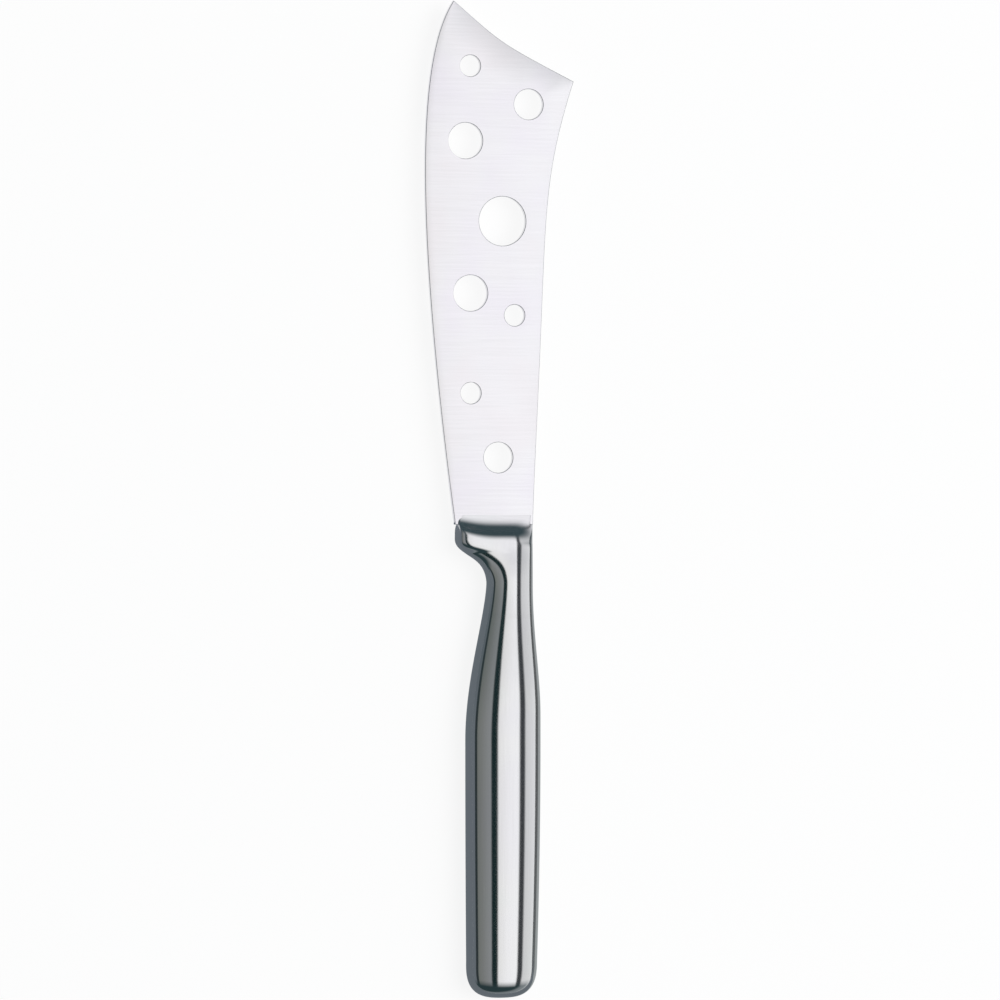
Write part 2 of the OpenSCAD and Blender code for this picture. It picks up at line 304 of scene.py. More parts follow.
def make_piece(name, points, smooth_faces, flat_faces=()):
    """A mesh object from points in millimetres and lists of arrays of faces."""
    smooth = [f for block in smooth_faces for f in block.tolist()]
    flat = [f for block in flat_faces for f in block.tolist()]
    mesh = bpy.data.meshes.new(name)
    mesh.from_pydata((points.reshape(-1, 3) * MM).tolist(), [], smooth + flat)
    is_smooth = np.arange(len(mesh.polygons)) < len(smooth)
    mesh.polygons.foreach_set("use_smooth", is_smooth)
    shape = bmesh.new()
    shape.from_mesh(mesh)
    bmesh.ops.remove_doubles(shape, verts=shape.verts, dist=merge_gap)
    loose = [v for v in shape.verts if not v.link_faces]
    bmesh.ops.delete(shape, geom=loose, context="VERTS")
    open_edges = sum(not e.is_manifold for e in shape.edges)
    volume = shape.calc_volume(signed=True)
    shape.to_mesh(mesh)
    shape.free()
    mesh.set_sharp_from_angle(angle=sharp_angle)
    piece = bpy.data.objects.new(name, mesh)
    bpy.context.scene.collection.objects.link(piece)
    state = f"{open_edges} open edges" if open_edges else f"closed, {volume / MM**3:.1f} mm3"
    print(f"{name}: {len(mesh.polygons)} faces, {state}")
    return piece


# %% [markdown]
# ## The blade
#
# A real blade of this kind is stamped from sheet, holes and all, and then ground: a low bevel
# runs along the belly and every other edge is only broken with a fine rounding. So the blade is
# built like that. Its outline is three Bezier curves, and a profile is carried along the whole
# outline: a quarter round on most of it, which opens into the bevel along the belly.

# %% The blade's outline
belly_shares = [[0.20, 0], [0.053, 0.309], [0.011, 0.497], [-0.12, 0.864], [0.19, 1]]
points_shares = [[0.19, 1], [0.516, 0.919], [0.502, 0.921], [1, 0.849]]
spine_shares = [[1, 0.849], [0.723, 0.604], [0.852, 0.562], [0.741, 0.215], [0.724, 0]]
belly_steps, points_steps, spine_steps = 160, 60, 130


def curve_shares(shares, steps):
    """Points of a Bezier curve at even steps, with the last one left to the next curve."""
    return bezier(shares, np.linspace(0, 1, steps, endpoint=False))


belly_curve = curve_shares(belly_shares, belly_steps)
blade_shares = np.vstack([belly_curve, curve_shares(points_shares, points_steps),
                          curve_shares(spine_shares, spine_steps), [spine_shares[-1]]])
share_low, share_high = blade_shares[:, 0].min(), blade_shares[:, 0].max()


def on_blade(shares):
    """Millimetres from shares of the blade's reach and length."""
    x = ((shares[:, 0] - share_low) / (share_high - share_low) - 0.5) * reach
    return np.stack([x, face_y + shares[:, 1] * blade_l], axis=1)


tang_end_y = face_y - tang_l
tang_corners = np.array([[tang_x + tang_w / 2, face_y], [tang_x + tang_end_w / 2, tang_end_y],
                         [tang_x - tang_end_w / 2, tang_end_y], [tang_x - tang_w / 2, face_y]])
outline = np.vstack([on_blade(blade_shares), tang_corners])
print(f"outline: {len(outline)} points, blade {blade_l:.1f} mm from the bolster to its tip")

# %% [markdown]
# The profile is a table of pairs: a distance in from the outline and a height above the middle.
# On a plain edge it is a quarter round. Along the belly it starts where the grinding starts,
# drops in a straight line and ends in the same round, lower down. A share that is 0 at both ends
# of the belly and 1 along most of it mixes the two, so the bevel runs out before the tip and
# before the bolster. A pair is laid off along the miter, the line that halves the corner of the
# outline at that place. The miter is longer at a sharper corner, so that the distance in is kept
# square to both edges.

# %% The profile carried along the outline
round_r, round_steps, runout = 0.12, 4, 0.1
round_turn = np.linspace(0, np.pi / 2, round_steps + 1)
step_share = np.concatenate([np.linspace(0, 1, belly_steps, endpoint=False),
                             np.ones(len(outline) - belly_steps)])
bevel_share = np.minimum(1, np.minimum(step_share, 1 - step_share) / runout)[:, None]

round_in = round_r * (1 - np.sin(round_turn))
round_drop = round_r * (1 - np.cos(round_turn))
top_in = mix(round_r, bevel_w, bevel_share)
inward = np.hstack([top_in, np.broadcast_to(round_in, (len(outline), len(round_in)))])
upward = np.hstack([np.full_like(top_in, blade_t / 2),
                    mix(blade_t / 2, edge_t / 2, bevel_share) - round_drop])
inward = np.hstack([inward, inward[:, ::-1]])
upward = np.hstack([upward, -upward[:, ::-1]])

after = np.roll(outline, -1, axis=0) - outline
after /= np.linalg.norm(after, axis=1)[:, None]
before = np.roll(after, 1, axis=0)
normal_after = np.stack([after[:, 1], -after[:, 0]], axis=1)
normal_before = np.stack([before[:, 1], -before[:, 0]], axis=1)
miter = normal_after + normal_before
miter /= np.sum(miter * normal_after, axis=1)[:, None]

rim = np.empty((len(outline), inward.shape[1], 3))
rim[..., :2] = outline[:, None, :] + miter[:, None, :] * inward[..., None]
rim[..., 2] = mid_z + upward
print("profile:", inward.shape[1], "points on each of", len(rim), "places")

# %% [markdown]
# The holes keep soft cheese from sticking. Each row of the table is a hole's place, as shares of
# the blade's reach and length, and its diameter. Each hole is a wall with a broken edge on both
# faces: four rings of points. A small one near the tang's end lets the cement lock the tang.

# %% The holes
holes = np.array([[0.301, 0.876, 5.2], [0.695, 0.804, 7.4], [0.269, 0.733, 8.7],
                  [0.518, 0.58, 11.9], [0.303, 0.442, 8.7], [0.6, 0.4, 5.2],
                  [0.305, 0.251, 5.2], [0.49, 0.128, 7.4]])
hole_break, hole_points = 0.1, 96
hole_turns = np.linspace(0, 2 * np.pi, hole_points, endpoint=False)
hole_in = np.array([hole_break, 0.0, 0.0, hole_break])
hole_up = np.array([1, 1, -1, -1]) * blade_t / 2 - np.array([0, 1, -1, 0]) * hole_break

hole_centres = np.vstack([on_blade(holes[:, :2]), [tang_x, tang_end_y + tang_end_w]])
hole_radii = np.append(holes[:, 2], key_hole_d) / 2


def hole_wall(centre, radius):
    """Rings of a hole's wall: the radius plus the broken edge, at four heights."""
    ring_r = (radius + hole_in)[None, :]
    turn = hole_turns[:, None]
    x = centre[0] + ring_r * np.cos(turn)
    y = centre[1] + ring_r * np.sin(turn)
    return np.stack([x, y, np.broadcast_to(mid_z + hole_up, x.shape)], axis=-1)


walls = [hole_wall(centre, radius) for centre, radius in zip(hole_centres, hole_radii)]
print(len(walls), "holes, diameters", (2 * hole_radii).round(1).tolist(), "mm")

# %% [markdown]
# Rim and walls are grids that close on themselves: a bridge joins the last row to the first.

# %% The rim and the walls as faces
def closing(rows, cols, first=0):
    """Four-sided faces between the last row of a grid and its first."""
    return bridge(np.arange(cols) + first + (rows - 1) * cols, np.arange(cols) + first)


blade_points = [rim.reshape(-1, 3)] + [wall.reshape(-1, 3) for wall in walls]
starts = np.cumsum([0] + [len(block) for block in blade_points])
profile_n, wall_n = rim.shape[1], len(hole_up)
edge_faces = [np.vstack([grid_faces(rows, cols, start), closing(rows, cols, start)])[:, ::-1]
              for start, rows, cols in [(0, len(rim), profile_n)]
              + [(start, hole_points, wall_n) for start in starts[1:-1]]]
print(sum(len(faces) for faces in edge_faces), "faces on the rim and in the holes")

# %% [markdown]
# The two flat faces of the blade lie between the first ring of the rim and those of the holes. A
# constrained triangulation fills the whole outline and keeps every ring as edges. The triangles
# inside the holes are then thrown away: their middles lie nearer to a hole's centre than its
# ring.

# %% The flat faces
loops = [np.arange(len(rim)) * profile_n]
loops += [start + np.arange(hole_points) * wall_n for start in starts[1:-1]]
loop_numbers = np.concatenate(loops)
all_points = np.vstack(blade_points)
loop_xy = all_points[loop_numbers, :2]
loop_starts = np.cumsum([0] + [len(loop) for loop in loops])
runs = [np.arange(a, b) for a, b in zip(loop_starts, loop_starts[1:])]
loop_edges = np.vstack([np.stack([run, np.roll(run, -1)], axis=1) for run in runs])
inside_only, same_point = 1, 1e-6
filled = delaunay_2d_cdt([Vector(p) for p in loop_xy], loop_edges.tolist(), [],
                         inside_only, same_point)
triangles = np.array(filled[2])

middles = loop_xy[triangles].mean(axis=1)
middle_gaps = np.linalg.norm(middles[:, None] - hole_centres[None], axis=2)
triangles = triangles[(middle_gaps > hole_radii + hole_break).all(axis=1)]
side_a = loop_xy[triangles[:, 1]] - loop_xy[triangles[:, 0]]
side_b = loop_xy[triangles[:, 2]] - loop_xy[triangles[:, 0]]
clockwise = side_a[:, 0] * side_b[:, 1] - side_a[:, 1] * side_b[:, 0] < 0
triangles[clockwise] = triangles[clockwise][:, ::-1]
under_numbers = loop_numbers + np.where(loop_numbers < starts[1], profile_n - 1, wall_n - 1)
top_face, under_face = loop_numbers[triangles], under_numbers[triangles][:, ::-1]
blade = make_piece("blade_polished", all_points, edge_faces, [top_face, under_face])

# %% [markdown]
# ## The weld at the heel
#
# Where the blade enters the bolster a weld fills the corner on both faces and is ground hollow,
# so that the blade's flat flows up into the guard. It belongs to the same skin as the bolster.
# Each half is a thin wall between that skin and the flat of the blade.

# %% The fillets at the heel
fillet_rows, fillet_cols = 24, 121
heel = stations(np.linspace(-fillet_l, 0, fillet_rows), neck_side, neck_side - guard_w)
over = arc_above(heel, (blade_t + fillet_edge_t) / 2, fillet_cols)
under = over.copy()
under[..., 2] = mid_z + blade_t / 2


def closed_wall(outer, inner):
    """Faces of the wall between two grids of the same rows and columns, rim included."""
    rows, cols = outer.shape[:2]
    numbers = np.arange(rows * cols).reshape(rows, cols)
    rim_run = np.concatenate([numbers[0, :], numbers[1:, -1],
                              numbers[-1, -2::-1], numbers[-2::-1, 0]])
    shift = rows * cols
    return [grid_faces(rows, cols), grid_faces(rows, cols, shift)[:, ::-1],
            bridge(rim_run + shift, rim_run)]


def mirrored(points):
    """The same points on the under side of the knife."""
    return points * [1, 1, -1] + [0, 0, 2 * mid_z]


upper = np.vstack([over.reshape(-1, 3), under.reshape(-1, 3)])
upper_faces = closed_wall(over, under)
lower_faces = [faces[:, ::-1] + len(upper) for faces in upper_faces]
blade_weld = make_piece("heel_fillets", np.vstack([upper, mirrored(upper)]),
                        upper_faces + lower_faces)

# %% [markdown]
# ## The bolster
#
# The bolster is one forging: the face behind the fillet, the finger guard that stands out on the
# belly side, the narrow neck, and a stepped spigot that goes inside the handle's shells. The side
# of the guard falls in to the neck along a Bezier curve. The tang passes through a slot, so the
# last ring of the grid is the slot's mouth, and the mesh closes on itself like a ring.

# %% The bolster
guard_fall_shares = [[0, 0], [0.45, 0.01], [0.33, 0.93], [1, 1]]
face_rows, fall_rows, neck_rows = 36, 90, 24
fall = bezier(guard_fall_shares, np.linspace(0, 1, fall_rows))
guard_stations = stations(mix(guard_l, neck_at, fall[:, 0]), neck_side,
                          mix(neck_side - guard_w, neck_side - neck_w, fall[:, 1]))
face_stations = stations(np.linspace(0, guard_l, face_rows, endpoint=False),
                         neck_side, neck_side - guard_w)
neck_stations = stations(np.linspace(neck_at, ring_at, neck_rows)[1:])
shoulder_stations = stations(np.array([ring_at, shell_from, spigot_to]))


def slot_ring(y, clearance):
    """A rectangle round the tang with as many points as a section, its corners at odd eighths."""
    width = mix(tang_w, tang_end_w, (face_y - y) / tang_l) / 2 + clearance
    height = blade_t / 2 + clearance
    share = np.linspace(0, 1, section_cols, endpoint=False)
    eighths = np.array([0, 1, 3, 5, 7, 8]) / 8
    x = tang_x + width * np.interp(share, eighths, [1, 1, -1, -1, 1, 1])
    z = mid_z + height * np.interp(share, eighths, [0, 1, 1, -1, -1, 0])
    return np.stack([x, np.full_like(x, y), z], axis=-1)[None]


bolster_rings = np.vstack([
    skin(np.vstack([face_stations, guard_stations, neck_stations]), full_circle),
    skin(shoulder_stations, full_circle, shell_t + play),
    slot_ring(face_y - spigot_to, play),
    slot_ring(face_y, play),
])


def torus_faces(rings):
    """Faces of a grid that is closed both ways: round each ring, and from last ring to first."""
    count, size = rings.shape[:2]
    one_ring = np.append(np.arange(size), 0)
    return [grid_faces(count, size, closed=True), bridge(one_ring + (count - 1) * size, one_ring)]


bolster = make_piece("bolster_forged", bolster_rings, torus_faces(bolster_rings))

# %% [markdown]
# ## The ring weld
#
# The front edge of the shells is welded to the bolster by a ring bead that fills the whole wall:
# a few rings of the outer skin, and two of the inner skin on the way back.

# %% The ring weld
bead_rows = 7
bead_rings = np.vstack([
    skin(stations(np.linspace(ring_at, shell_from, bead_rows)), full_circle),
    skin(stations(np.array([shell_from, ring_at])), full_circle, shell_t),
])
neck_weld = make_piece("ring_weld", bead_rings, torus_faces(bead_rings))

# %% [markdown]
# ## The handle's shells
#
# Each shell is pressed from sheet, so it is a wall with an outer and an inner skin. Both skins
# stop half a bead above the middle, all the way round the butt, where they close in a point.

# %% The two shells
def butt_turn(inset):
    """Turn of the rounded end at which the section is no thicker than the seam bead."""
    return np.arccos((weld_w / (handle_t - 2 * inset)) ** (butt_power / 2))


grip_rows, butt_rows, shell_cols = 110, 60, 141


def shell_stations(inset):
    """Stations from the ring weld to the place where the two shells' edges meet at the butt."""
    along = stations(np.linspace(shell_from, butt_at, grip_rows))
    turns = np.linspace(0, butt_turn(inset), butt_rows + 1)[1:]
    return np.vstack([along, stations(np.full(butt_rows, butt_at), turn=turns)])


outer, inner = (arc_above(shell_stations(inset), weld_w / 2, shell_cols, inset)
                for inset in (0.0, shell_t))
shell_points = np.vstack([outer.reshape(-1, 3), inner.reshape(-1, 3)])
shell_faces = closed_wall(outer, inner)
shell_top = make_piece("shell_top", shell_points, shell_faces)
shell_bottom = make_piece("shell_bottom", mirrored(shell_points),
                          [faces[:, ::-1] for faces in shell_faces])

# %% [markdown]
# ## The seam
#
# One bead joins the shells down the spine side, round the butt and back up the belly side, and is
# ground flush. Each side is a strip of the same skin between the two shells' edges. Past the
# place where the shells end, the two strips widen until they meet and cover the pole of the butt.

# %% The seam bead
cap_rows, seam_cols = 10, 15


def seam_strip(inset, side):
    """A strip of skin half a bead above and below the middle, at the spine (1) or belly (-1)."""
    turns = np.linspace(butt_turn(inset), np.pi / 2, cap_rows + 1)[1:]
    cap = stations(np.full(cap_rows, butt_at), turn=turns)
    station = np.vstack([shell_stations(inset), cap])
    edge = angle_at(station, weld_w / 2, side, inset) * np.linspace(-1, 1, seam_cols)[None, :]
    return skin(station, edge if side > 0 else np.pi + edge, inset)


def strip_faces(strip, first):
    """Faces of one side of the seam: outer strip, inner strip, both edges and the front end."""
    rows, cols = strip.shape[:2]
    numbers = np.arange(rows * cols).reshape(rows, cols) + first
    inner_numbers = numbers + rows * cols
    edge_rows = grip_rows + butt_rows
    low, high = numbers[:edge_rows, 0], numbers[:edge_rows, -1]
    low_in, high_in = inner_numbers[:edge_rows, 0], inner_numbers[:edge_rows, -1]
    return [grid_faces(rows, cols, first), grid_faces(rows, cols, first + rows * cols)[:, ::-1],
            bridge(low, low_in), bridge(high_in, high), bridge(inner_numbers[0], numbers[0])]


strips = [[seam_strip(inset, side) for inset in (0.0, shell_t)] for side in (1.0, -1.0)]
strip_size = strips[0][0][..., 0].size
seam_points = np.vstack([s.reshape(-1, 3) for pair in strips for s in pair])
seam_faces = strip_faces(strips[0][0], 0) + strip_faces(strips[1][0], 2 * strip_size)
seam_weld = make_piece("seam_bead", seam_points, seam_faces)

# %% [markdown]
# Each new piece now takes the place of its piece in the frame. The knife has no moving parts, so
# all of them ride on its one body. The cement round the tang keeps its solid, because nothing of
# it shows.

# %% Riding on the frame
standing_for = {
    "blade": (blade, "blade_steel"),
    "blade_weld": (blade_weld, "weld_steel"),
    "bolster": (bolster, "handle_steel"),
    "neck_weld": (neck_weld, "weld_steel"),
    "handle_shell_top": (shell_top, "handle_steel"),
    "handle_shell_bottom": (shell_bottom, "handle_steel"),
    "seam_weld": (seam_weld, "weld_steel"),
}
for node, (piece, slot) in standing_for.items():
    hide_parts(node)
    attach(piece, "root")
    low, high = box_mm(node)
    corners = np.array([v.co for v in piece.data.vertices]) / MM
    off = np.abs([corners.min(0) - low, corners.max(0) - high]).max()
    print(f"{node}: its box is off by {off:.3f} mm at most")

# %% [markdown]
# ## The steels
#
# A steel is a small net of shader nodes. The helpers below add a node, plug a value into it,
# whether that is a number or what another node gives, and return what comes out, so that each
# finish can be written like a sum.

# %% Helpers for nodes
def plug(tree, value, socket):
    """What a node gives is linked to the socket, and a number or colour is set on it."""
    if isinstance(value, bpy.types.NodeSocket):
        tree.links.new(value, socket)
    else:
        socket.default_value = value


def add(tree, kind, **values):
    """A node of a kind, with its settings and inputs given by name."""
    node = tree.nodes.new("ShaderNode" + kind)
    for key, value in values.items():
        if key in node.inputs:
            plug(tree, value, node.inputs[key])
        else:
            setattr(node, key, value)
    return node


def maths(tree, operation, *values):
    """The result of one operation on one or two values."""
    node = add(tree, "Math", operation=operation)
    for value, socket in zip(values, node.inputs):
        plug(tree, value, socket)
    return node.outputs["Value"]


def mapped(tree, value, low, high, to_low=0.0, to_high=1.0):
    """The value's way from low to high, held between the two, laid out from to_low to to_high."""
    node = add(tree, "MapRange", Value=value, **{"From Min": low, "From Max": high,
                                                 "To Min": to_low, "To Max": to_high})
    return node.outputs["Result"]


# %% [markdown]
# Four more helpers give what a finish is made of: mixtures, ramps of colour, cloudy noise, and
# the empty material to put them in.

# %% Mixtures, ramps and noise
def blend(tree, kind, share, first, second, **settings):
    """Two numbers (FLOAT) or colours (RGBA) mixed: the first at share 0, the second at 1."""
    node = add(tree, "Mix", data_type=kind, **settings)
    ending = {"FLOAT": "_Float", "RGBA": "_Color"}[kind]
    sockets = {socket.identifier: socket for socket in [*node.inputs, *node.outputs]}
    plug(tree, share, sockets["Factor_Float"])
    plug(tree, first, sockets["A" + ending])
    plug(tree, second, sockets["B" + ending])
    return sockets["Result" + ending]


def colour_ramp(tree, share, stops, low=0.0, high=1.0):
    """Colours along a share of 0 to 1, whose stops are written as values between low and high."""
    node = add(tree, "ValToRGB", Fac=share)
    elements = node.color_ramp.elements
    while len(elements) < len(stops):
        elements.new(1.0)
    for element, (stop, colour) in zip(elements, stops):
        element.position = (stop - low) / (high - low)
        element.color = (*colour, 1)
    return node.outputs["Color"]


def noise(tree, place, scale, detail, roughness=0.5):
    """A cloudy value round a half; scale is the number of its lumps in one unit of the place."""
    node = add(tree, "TexNoise", Vector=place, Scale=scale, Detail=detail, Roughness=roughness)
    return node.outputs["Fac"]


def new_material(name):
    """A material of nodes and its tree."""
    material = bpy.data.materials.new(name)
    material.use_nodes = True
    return material, material.node_tree


# %% [markdown]
# Bare steel is bright metal with a fine grain of scratches that all run one way: across the
# blade, where a belt ground it, and along the handle, where it was brushed. A noise that is
# stretched along one axis gives such lines. The same lines nudge the colour, the roughness and a
# very low bump. A second, broad noise stands for handling: places that are a little duller or
# warmer than others. The bolster's face is ground like the blade, and a ramp along the knife lets
# that finish give way to the handle's.

# %% A recipe for brushed steel
patches_per_m, scratch_relief, rough_play = 45.0, 4e-7, 0.15


def scratches(tree, place, line_size):
    """A noise stretched along the longest of its three sizes, in millimetres."""
    scale = tuple(1 / (size * MM) for size in line_size)
    stretch = add(tree, "Mapping", Vector=place, Scale=scale)
    return noise(tree, stretch.outputs["Vector"], 1.0, 3.0, 0.6)


def brushed_steel(name, colour, roughness, line_size, tints, lines, ground=None):
    """Steel whose scratches follow the longest of the three line sizes, in millimetres.

    Its colour is the given one times the tint of the patch, times 1 on a light scratch and
    1 - lines on a dark one. Scratches and patches make its roughness stray by a share rough_play.
    Ground gives a second colour, roughness and line size for the places ahead of the bolster's
    face, and the two distances behind the face between which it gives way to the first.
    """
    material, tree = new_material(name)
    place = add(tree, "TexCoord").outputs["Object"]
    grain, base = scratches(tree, place, line_size), (*colour, 1)
    if ground:
        ground_colour, ground_roughness, ground_size, start, end = ground
        along = add(tree, "SeparateXYZ", Vector=place).outputs["Y"]
        behind = mapped(tree, along, (face_y - start) * MM, (face_y - end) * MM)
        grain = blend(tree, "FLOAT", behind, scratches(tree, place, ground_size), grain)
        base = blend(tree, "RGBA", behind, (*ground_colour, 1), base)
    patches = noise(tree, place, patches_per_m, 2.0)
    tint = colour_ramp(tree, patches, list(zip((0.35, 0.5, 0.65), tints)))
    tinted = blend(tree, "RGBA", 1.0, base, tint, blend_type="MULTIPLY")
    shade = mapped(tree, grain, 0.3, 0.7, 1 - lines, 1)
    shaded = add(tree, "VectorMath", operation="SCALE", Scale=shade)
    plug(tree, tinted, shaded.inputs[0])
    dull = mapped(tree, maths(tree, "ADD", grain, patches), 0.6, 1.4,
                  roughness * (1 - rough_play), roughness * (1 + rough_play))
    if ground:
        dull = blend(tree, "FLOAT", behind, ground_roughness, dull)
    bump = add(tree, "Bump", Strength=1.0, Distance=scratch_relief, Height=grain)
    steel = tree.nodes["Principled BSDF"].inputs
    steel["Metallic"].default_value = 1.0
    plug(tree, shaded.outputs["Vector"], steel["Base Color"])
    plug(tree, dull, steel["Roughness"])
    plug(tree, bump.outputs["Normal"], steel["Normal"])
    return material


# %% [markdown]
# The blade is a little lighter than the handle, and duller, because it was ground and not
# brushed. The welds on the handle were ground flush and polished with it, and are only a shade
# darker. The bolster and the weld at the heel share the steel whose face is ground. Each recipe
# is a colour, a roughness, a line size, three tints and the depth of the lines.

# %% The four steels
blade_tints = [(0.985, 0.97, 1.0), (1.0, 1.0, 1.0), (1.0, 0.985, 0.985)]
handle_tints = [(0.97, 1.0, 0.985), (1.0, 1.0, 1.0), (0.985, 0.98, 1.0)]
blade_grey, weld_grey = (0.755, 0.752, 0.775), (0.69, 0.695, 0.70)
handle_grey = (0.70, 0.705, 0.71)
blade_lines, ground_lines, handle_lines = (14, 0.3, 0.3), (5, 0.25, 0.25), (0.16, 14, 0.16)
ground_end = 6.0
recipes = {
    "blade_steel": (blade_grey, 0.13, blade_lines, blade_tints, 0.05),
    "handle_steel": (handle_grey, 0.09, handle_lines, handle_tints, 0.06),
    "weld_steel": (weld_grey, 0.10, handle_lines, handle_tints, 0.06),
    "ground_steel": (handle_grey, 0.09, handle_lines, handle_tints, 0.06,
                     (blade_grey, 0.24, ground_lines, 0.0, ground_end)),
}
steels = {name: brushed_steel(name, *recipe) for name, recipe in recipes.items()}
for node, (piece, slot) in standing_for.items():
    finish = "ground_steel" if node in ("bolster", "blade_weld") else slot
    piece.data.materials.append(steels[finish])
    print(node, "is", finish)

# %% [markdown]
# The cement is cast round the tang and is seen only by someone who takes the knife apart: a dull,
# greyish resin with fine specks.

# %% The cement
cement, resin_tree = new_material("resin_cement")
resin_place = add(resin_tree, "TexCoord").outputs["Object"]
specks = noise(resin_tree, resin_place, 900.0, 4.0)
speck_stops = [(0, (0.22, 0.21, 0.19)), (1, (0.38, 0.36, 0.33))]
resin = resin_tree.nodes["Principled BSDF"].inputs
resin["Roughness"].default_value = 0.8
plug(resin_tree, colour_ramp(resin_tree, specks, speck_stops), resin["Base Color"])
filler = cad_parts["tang_cement"]
filler.data.materials.clear()
filler.data.materials.append(cement)
print("tang_cement is", filler.data.materials[0].name)

# %% [markdown]
# ## The studio
#
# Polished steel has almost no colour of its own: its stripes are the studio, mirrored. A
# photographer hangs a long white softbox over the knife and leaves dark gaps beside it, so that
# the round handle shows bright bands with crisp dark lines between them. Here the world is that
# studio. The steel that mirrors a ray of it to the camera faces half-way between the two, so the
# brightness follows that half-way direction and not the ray's own. Each band then covers all the
# steel that faces one way, and its edges stay straight where the handle swells and tapers.

# %% The half-way direction
camera_tilt = np.radians(18.5)
to_camera = np.array([-np.sin(camera_tilt), 0, np.cos(camera_tilt)])
studio = bpy.data.worlds.new("studio")
bpy.context.scene.world = studio
studio.use_nodes = True
sky = studio.node_tree
sky.nodes.clear()
ray_way = add(sky, "TexCoord").outputs["Generated"]
ray = add(sky, "SeparateXYZ", Vector=ray_way).outputs
across = maths(sky, "SUBTRACT", ray["X"], np.sin(camera_tilt))
above = maths(sky, "ADD", ray["Z"], np.cos(camera_tilt))
around = maths(sky, "ARCTAN2", across, above)
turn_share = mapped(sky, around, -(np.pi + camera_tilt) / 2, (np.pi - camera_tilt) / 2)
print("direction from the knife to the camera:", to_camera.round(3).tolist())

# %% [markdown]
# The bands are colours round the knife's long axis, in degrees from straight up: 90 is at the
# spine's side and -90 at the belly's. Each is the angle at which a ray that runs square to the
# knife comes in, which is twice the turn of the steel that mirrors it, plus the camera's tilt.

# %% The studio's bands
low_wall, dark_line, camera_gap = (0.175, 0.20, 0.225), (0.03, 0.043, 0.046), (0.01, 0.027, 0.028)
left_wall = [(0.21, 0.225, 0.21), (0.255, 0.265, 0.26), (0.33, 0.345, 0.355)]
softbox = [(1.08, 1.07, 1.06), (1.22, 1.21, 1.225), (1.26, 1.26, 1.27)]
right_gap, window = (0.055, 0.06, 0.066), [(0.86, 0.86, 0.865), (1.02, 1.03, 1.03)]
right_foot, under_wall = (0.1, 0.105, 0.105), (0.4, 0.42, 0.42)
bands = [
    (-180, low_wall), (-73, low_wall), (-71, dark_line), (-61, dark_line),
    (-59, left_wall[0]), (-40, left_wall[1]), (-16.5, left_wall[2]),
    (-14.5, camera_gap), (-3, camera_gap),
    (-0.5, softbox[0]), (18.5, softbox[1]), (33.5, softbox[2]),
    (36, right_gap), (45, right_gap), (49, window[0]), (83, window[1]),
    (85.5, right_foot), (98, right_foot), (100, under_wall), (180, under_wall),
]
band_colour = colour_ramp(sky, turn_share, bands, -180, 180)
print(len(bands), "stops round the knife")

# %% [markdown]
# The studio isn't endless, and steel that leans toward the tip or the butt mirrors its ends. The
# lean of the half-way direction says how far the bands have given way to them. It is counted
# double, as the turn is, so that it is the angle of the ray that such steel mirrors.

# %% Where the bands give way
beside = add(sky, "CombineXYZ", X=across, Y=above)
square_reach = add(sky, "VectorMath", operation="LENGTH")
plug(sky, beside.outputs["Vector"], square_reach.inputs[0])
lean = maths(sky, "ARCTAN2", ray["Y"], square_reach.outputs["Value"])
lean_share = mapped(sky, lean, -np.pi / 2, np.pi / 2)
end_shares = [(-180, 1), (-48, 1), (-28, 0), (3, 0), (10, 0.17), (22, 0.42), (43, 0.8),
              (62, 1), (180, 1)]
end_share = colour_ramp(sky, lean_share, [(turn, (share,) * 3) for turn, share in end_shares],
                        -180, 180)
print("the bands are whole from", end_shares[2][0], "to", end_shares[3][0], "degrees of lean")

# %% [markdown]
# The far end, beyond the tip, is a plain dark teal. The near end is the wall behind the butt. Its
# colours follow the angle between the ray and the camera's own direction, so the round butt
# mirrors them as rings: dark over the knife, grey at its height, and light below.

# %% The two ends
toward = add(sky, "VectorMath", operation="DOT_PRODUCT")
plug(sky, ray_way, toward.inputs[0])
plug(sky, tuple(to_camera), toward.inputs[1])
away_share = mapped(sky, maths(sky, "ARCCOSINE", toward.outputs["Value"]), 0.0, np.pi)
end_teal, end_wall, end_light = (0.03, 0.055, 0.06), (0.25, 0.28, 0.295), (0.6, 0.62, 0.63)
far_teal = (0.05, 0.08, 0.09)
near_stops = [(0, end_teal), (75, end_teal), (86, end_wall), (94, end_wall),
              (106, end_light), (180, end_light)]
near_end = colour_ramp(sky, away_share, near_stops, 0, 180)
is_near = maths(sky, "LESS_THAN", ray["Y"], 0.0)
ends = blend(sky, "RGBA", is_near, (*far_teal, 1), near_end)
whole = blend(sky, "RGBA", end_share, band_colour, ends)
print("the wall behind the butt has", len(near_stops), "stops")

# %% [markdown]
# Seen straight by the camera, beyond the edge of the floor, the studio is plain white. The steel
# and the floor see the bands.

# %% World output
paper = add(sky, "Background", Color=(1, 1, 1, 1), Strength=1.0)
lit = add(sky, "Background", Color=whole, Strength=1.0)
choose = add(sky, "MixShader", Fac=add(sky, "LightPath").outputs["Is Camera Ray"])
plug(sky, lit.outputs["Background"], choose.inputs[1])
plug(sky, paper.outputs["Background"], choose.inputs[2])
add(sky, "OutputWorld", Surface=choose.outputs["Shader"])
print("nodes in the studio:", len(sky.nodes))

# %% [markdown]
# The knife lies on a pale floor. White paper that is lit from above is never quite white in a
# picture, so the floor adds a glow of its own that the camera and the steel both see, and keeps a
# soft shadow where the knife shades it.

